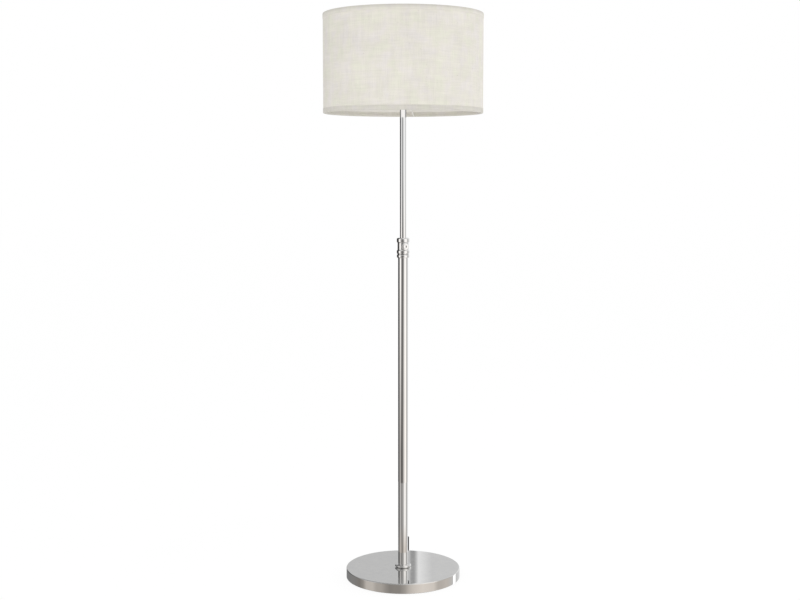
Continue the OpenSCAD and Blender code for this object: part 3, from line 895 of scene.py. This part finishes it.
IN_SHADE = [
    (-180, 0.10), (-110, 0.12), (-90, 0.40), (-78, 0.95), (-60, 1.05), (60, 1.10), (72, 0.90),
    (85, 0.45), (110, 0.30), (172, 0.20),
]
WARM_TO = 115
WARM_FADE = 20
LIFTED_LEVEL = 0.72
TENT_R = 0.75
TENT_LOW = -1.2
TENT_H = 2.4
DRUM_R = 0.212
DRUM_LOW = 0.2
DRUM_NECK_R = 0.19
DRUM_NECK_Z = SHADE_LOW - 3 * MM


def by_direction(tree, turn, brightness, warmth=0.0, lift=0.0):
    """Colours round the lamp; what stands before it can be a little warm, and a lift pales it."""
    stops = []
    for direction, level in brightness:
        warm = warmth * max(0.0, min(1.0, (WARM_TO - abs(direction)) / WARM_FADE))
        if lift:
            level = min(1.0, level) * (1 - lift) + LIFTED_LEVEL * lift
        stops.append((direction / 360 + 0.5, (level * (1 + warm), level, level * (1 - warm))))
    return ramp(tree, turn, stops)


def glowing(name):
    material = bpy.data.materials.new(name)
    material.use_nodes = True
    tree = material.node_tree
    tree.nodes.remove(tree.nodes["Principled BSDF"])
    glow = add_node(tree, "ShaderNodeEmission", Strength=1.0)
    tree.links.new(glow.outputs["Emission"], tree.nodes["Material Output"].inputs["Surface"])
    split = add_node(tree, "ShaderNodeSeparateXYZ")
    tree.links.new(place(tree), split.inputs["Vector"])
    return material, tree, glow, split


def round_lamp(tree, split):
    """The direction round the lamp, as 0 to 1 from the back over the front to the back."""
    to_front = maths(tree, "MULTIPLY", split.outputs["Y"], -1)
    turn = maths(tree, "ARCTAN2", split.outputs["X"], to_front)
    return maths(tree, "ADD", maths(tree, "DIVIDE", turn, FULL_TURN), 0.5)


def tent_material():
    """The outer tent. The base's wall mirrors it below the floor, the pole's foot mirrors it over
    the base's top, and it is paler higher up."""
    material, tree, glow, split = glowing("studio_tent")
    turn = round_lamp(tree, split)
    over = spread(tree, split.outputs["Z"], 0, 1, -0.14, -0.06)
    high = spread(tree, split.outputs["Z"], 0, 1, 0.28, 0.36)
    colour = mix(tree, over, by_direction(tree, turn, NEAR_FLOOR, 0.085),
                 by_direction(tree, turn, AT_FOOT, 0.03))
    colour = mix(tree, high, colour, by_direction(tree, turn, NEAR_FLOOR, 0.0, 0.45))
    tree.links.new(colour, glow.inputs["Color"])
    return material


def drum_material():
    """The inner drum, which only the pole and the collar mirror, narrower inside the shade."""
    material, tree, glow, split = glowing("studio_drum")
    turn = round_lamp(tree, split)
    waist = spread(tree, split.outputs["Z"], 0, 1, 0.29, 0.79)
    head = spread(tree, split.outputs["Z"], 0, 1, 0.84, 1.05)
    colour = mix(tree, waist, by_direction(tree, turn, LOW, 0.05),
                 by_direction(tree, turn, HALF_WAY, 0.03))
    colour = mix(tree, head, colour, by_direction(tree, turn, AT_TOP))
    inside = spread(tree, split.outputs["Z"], 0, 1, DRUM_NECK_Z, DRUM_NECK_Z + 2 * MM)
    colour = mix(tree, inside, colour, by_direction(tree, turn, IN_SHADE, 0.02))
    tree.links.new(colour, glow.inputs["Color"])
    return material


# Grey card behind the lamp, which the base's top mirrors, from left to right: plain grey, a dark
# strip, and a bright strip that fades to a slightly paler grey.
CARD = [
    (-0.26, 0.58), (0.02, 0.58), (0.025, 0.36), (0.035, 0.36), (0.042, 0.58), (0.048, 0.86),
    (0.09, 0.64), (0.26, 0.64),
]
CARD_Y = 0.70
CARD_Z = 0.07
CARD_H = 0.9


def card_material():
    material, tree, glow, split = glowing("studio_card")
    width = CARD[-1][0] - CARD[0][0]
    share = spread(tree, split.outputs["X"], 0, 1, CARD[0][0], CARD[-1][0])
    colour = ramp(tree, share, [((x - CARD[0][0]) / width, v) for x, v in CARD])
    tree.links.new(colour, glow.inputs["Color"])
    return material


def only_mirrored(piece):
    for ray in ("camera", "diffuse", "transmission", "volume_scatter", "shadow"):
        setattr(piece, "visible_" + ray, False)


def make_surround():
    """A tent and a drum round the lamp and a card behind it, which only reflections see."""
    outline = [(0, TENT_LOW), (TENT_R, TENT_LOW), (TENT_R, TENT_H)]
    tent = turned("studio_tent", outline, 96, closed=False)
    only_mirrored(tent)
    stage_piece(tent, tent_material())
    outline = [(DRUM_R, DRUM_LOW), (DRUM_R, DRUM_NECK_Z), (DRUM_NECK_R, DRUM_NECK_Z),
               (DRUM_NECK_R, SHADE_TOP), (DRUM_R, SHADE_TOP), (DRUM_R, TENT_H)]
    drum = turned("studio_drum", outline, 96, closed=False)
    only_mirrored(drum)
    stage_piece(drum, drum_material())
    deselect()
    bpy.ops.mesh.primitive_plane_add(size=1)
    card = bpy.context.active_object
    card.name = "studio_card"
    card.scale = (CARD[-1][0] - CARD[0][0], CARD_H, 1)
    card.rotation_euler = (math.pi / 2, 0, 0)
    card.location = (0, CARD_Y, CARD_Z)
    settle(card)
    only_mirrored(card)
    stage_piece(card, card_material())


def make_world():
    world = bpy.data.worlds.new("studio")
    bpy.context.scene.world = world
    world.use_nodes = True
    tree = world.node_tree
    background = tree.nodes["Background"]
    background.inputs["Color"].default_value = (1, 1, 1, 1)
    seen = ray_share(tree, "Is Camera Ray", "Is Glossy Ray", "Is Transmission Ray")
    tree.links.new(spread(tree, seen, 0.78, 1.0, 0, 1), background.inputs["Strength"])


def make_lamp(name, spot, aim_at, size, power):
    data = bpy.data.lights.new(name, "AREA")
    data.shape = "RECTANGLE"
    data.size, data.size_y = size
    data.energy = power
    lamp = bpy.data.objects.new(name, data)
    bpy.context.scene.collection.objects.link(lamp)
    lamp.location = spot
    lamp.rotation_mode = "QUATERNION"
    lamp.rotation_quaternion = (Vector(aim_at) - Vector(spot)).to_track_quat("-Z", "Y")
    lamp.visible_glossy = False
    lamp.visible_camera = False


make_world()
make_floor()
make_surround()
make_lamp("front", (-0.45, -2.0, 0.6), (0, 0, 1.2), (0.9, 0.9), 9)
make_lamp("side", (3.73, 0.33, 1.1), (0, 0, 1.1), (1.8, 1.8), 29)

make_base()
make_foot_ring()
make_lower_pole()
make_upper_pole()
make_collar()
make_knob()
make_outlet()
make_casings()
make_wire_arms()
make_lining()
make_bulb()
fabric, flat_size = make_fabric()
hems = [make_hem("lower_hem", SHADE_LOW, 1, "bottom_hem", HEM_LINEN_PAINTED_SHADE),
        make_hem("upper_hem", SHADE_TOP, -1, "top_hem", TOP_LINEN_PAINTED_SHADE)]
